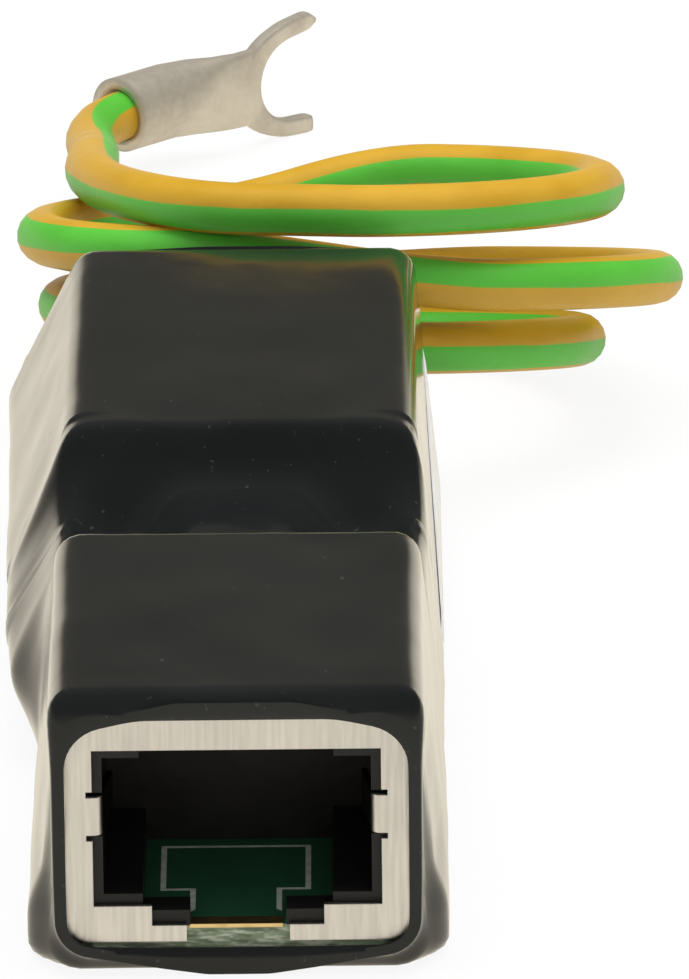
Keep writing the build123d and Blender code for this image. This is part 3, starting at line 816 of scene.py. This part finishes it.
def on_fork(along, across, out):
    """A point of the fork: along its barrel, up across its plate and out to the front."""
    forward = Vector((sin(fork_heading), cos(fork_heading), 0))
    sideways = Vector((cos(fork_heading), -sin(fork_heading), 0))
    return (fork_mouth + forward * along + sideways * out + Vector((0, 0, across))) * millimetre


def fork_ring(along, half_width, half_depth, squareness, middle=None):
    """A ring across the barrel, round at the wire and flat at the plate. It lies on the barrel's
    back unless its middle is given."""
    ring = []
    if middle is None:
        middle = barrel_back - half_depth
    for i in range(barrel_ring_points):
        turn = 2 * pi * i / barrel_ring_points
        across = half_width * copysign(abs(cos(turn)) ** (2 / squareness), cos(turn))
        depth = half_depth * copysign(abs(sin(turn)) ** (2 / squareness), sin(turn))
        ring.append(on_fork(along, across, middle + depth))
    return ring


def make_barrel():
    """The barrel, from its bore over the mouth and along to the flat neck."""
    rings = [
        fork_ring(bore_depth, closed_end, closed_end, 2.0, 0),
        fork_ring(bore_depth, bore_radius, bore_radius, 2.0, 0),
        fork_ring(0, bore_radius, bore_radius, 2.0, 0),
    ]
    for low, high in zip(barrel_sections, barrel_sections[1:]):
        for i in range(barrel_steps):
            rings.append(fork_ring(*between_spots(low, high, i / barrel_steps)))
    rings.append(fork_ring(*barrel_sections[-1]))
    along, _, half_depth, squareness = barrel_sections[-1]
    rings.append(fork_ring(along, closed_end, closed_end, squareness, barrel_back - half_depth))
    return to_mesh(rolled_grid(rings), "fork_barrel")


def prong_places():
    """The middle line of the prongs and their root, with its direction and half width."""
    along, across = slot_middle
    places = []
    for side, length in ((1, upper_prong), (-1, lower_prong)):
        reach = slot_radius + prong_half_width
        stretch = []
        for i in range(prong_steps):
            tip = along + length * (1 - i / prong_steps)
            stretch.append((tip, across + side * reach, 0, side, prong_half_width))
        for i in range(root_steps):
            turn = pi / 2 * i / root_steps
            width = mix(prong_half_width, root_half_width, eased(i, *root_widens))
            back = (slot_radius + width) * sin(turn)
            off = (slot_radius + width) * cos(turn)
            stretch.append((along - back, across + side * off, turn, side, width))
        places.append(stretch)
    root = (along - slot_radius - root_half_width, across, pi / 2, 1, root_half_width)
    return places[0] + [root] + places[1][::-1]


def make_prongs():
    """The open end, drawn as one flat bar round the slot, with round tips."""
    rings = []
    places = prong_places()
    last = len(places) - 1
    for i, (along, across, turn, side, width) in enumerate(places):
        from_tip = min(i, last - i)
        taper = sqrt(1 - (1 - min(from_tip + tip_bluntness, tip_length) / tip_length) ** 2)
        outwards = (-sin(turn), side * cos(turn))
        bend = -prong_bend * eased(along, *prong_bend_run) * (side if from_tip else 1)
        middle = barrel_back - fork_sheet + bend + prong_lift
        ring = []
        for k in range(prong_ring_points):
            swing = 2 * pi * k / prong_ring_points
            off = width * taper * copysign(abs(cos(swing)) ** 0.5, cos(swing))
            depth = fork_sheet * copysign(abs(sin(swing)) ** 0.5, sin(swing))
            place = (along + outwards[0] * off, across + outwards[1] * off)
            ring.append(on_fork(*place, middle + depth))
        rings.append(ring)
    form = rolled_grid(rings)
    bmesh.ops.holes_fill(form, edges=[edge for edge in form.edges if edge.is_boundary], sides=0)
    bmesh.ops.recalc_face_normals(form, faces=form.faces)
    return to_mesh(form, "fork_prongs")


tin = paint_tin()
fork_barrel = new_piece("fork_barrel", make_barrel(), tin)
fork_prongs = new_piece("fork_prongs", make_prongs(), tin)
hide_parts("fork_terminal")


# The label: a thin piece of off-white film, left blank. It is cut to shape and stuck low on the
# sleeve's right flank once the tube has shrunk.
dress("side_label", paint_moulded("label_paper", (0.78, 0.77, 0.74, 1), 0.4))


# The studio: a white sweep that keeps the object's soft shadow, an even white surround, a large
# lamp overhead and a weaker one in front.
# The warm tint that mirrors see in the floor and the surround. On the floor it is a painted
# reflection colour.
mirror_tint = (0.92, 0.84, 0.68, 1)
floor_half = 3
floor_form = bmesh.new()
bmesh.ops.create_grid(floor_form, x_segments=1, y_segments=1, size=floor_half)
floor = bpy.data.objects.new("floor", to_mesh(floor_form, "floor"))
bpy.context.scene.collection.objects.link(floor)


def paint_floor():
    """A pale floor that the camera sees as white, but for the object's shadow. For mirrors it glows
    in a warm tint, dimmer towards the front: a painted reflection.
    """
    material, tree, shader, place = new_finish(
        "pale_floor", Base_Color=(0.86, 0.86, 0.86, 1), Roughness=0.6
    )
    seen = node(tree, "LightPath")
    mirrored = seen.outputs["Is Glossy Ray"]
    behind = node(tree, "SeparateXYZ", {0: place}).outputs["Y"]
    # Painted reflection: glossy rays see the floor glowing in the warm tint, dimmer towards the
    # front.
    tint = blend_colours(tree, mirrored, (1, 1, 1, 1), mirror_tint)
    fall = between(tree, behind, -0.15, 0.05, 0.78, 1.0)
    strength = between(tree, mirrored, 0, 1, 1.0, fall)
    glow = node(tree, "Emission", {"Color": tint, "Strength": strength})
    bright = maths(tree, "MAXIMUM", seen.outputs["Is Camera Ray"], mirrored)
    share = maths(tree, "MULTIPLY", bright, 0.9)
    both = node(tree, "MixShader", {0: share, 1: shader.outputs[0], 2: glow.outputs[0]})
    tree.links.new(both.outputs[0], tree.nodes["Material Output"].inputs["Surface"])
    return material


floor.data.materials.append(paint_floor())

world = bpy.data.worlds.new("surround")
bpy.context.scene.world = world
world.use_nodes = True
surround = world.node_tree.nodes["Background"]
sky = world.node_tree
height = node(sky, "SeparateXYZ", {0: node(sky, "TexCoord").outputs["Generated"]}).outputs["Z"]
seen = node(sky, "LightPath")
mirrored = maths(sky, "MAXIMUM", seen.outputs["Is Glossy Ray"], seen.outputs["Is Transmission Ray"])
sky.links.new(blend_colours(sky, mirrored, (1, 1, 1, 1), mirror_tint), surround.inputs["Color"])
ceiling = between(sky, height, 0.0, 0.2, 1.0, 0.1)
for_mirrors = maths(sky, "MULTIPLY", mirrored, ceiling)
unseen = maths(sky, "SUBTRACT", 1.0, maths(sky, "MAXIMUM", mirrored, seen.outputs["Is Camera Ray"]))
lit = maths(sky, "MULTIPLY", unseen, 0.5)
strength = maths(sky, "ADD", maths(sky, "ADD", for_mirrors, lit), seen.outputs["Is Camera Ray"])
sky.links.new(strength, surround.inputs["Strength"])


def hang_lamp(name, place, aim, size, power):
    """A soft box lamp at a place, turned to its aim."""
    data = bpy.data.lights.new(name, "AREA")
    data.shape = "RECTANGLE"
    data.size, data.size_y = size
    data.energy = power
    lamp = bpy.data.objects.new(name, data)
    lamp.visible_glossy = False
    lamp.matrix_world = Matrix.Translation(Vector(place)) @ (
        Vector(place) - Vector(aim)
    ).to_track_quat("Z", "Y").to_matrix().to_4x4()
    bpy.context.scene.collection.objects.link(lamp)


hang_lamp("overhead", (0.0, 0.12, 0.7), (0, 0.02, 0), (0.8, 0.6), 7.0)
hang_lamp("front", (0.1, -0.9, 0.35), (0, 0, 0.01), (0.5, 0.4), 1.2)
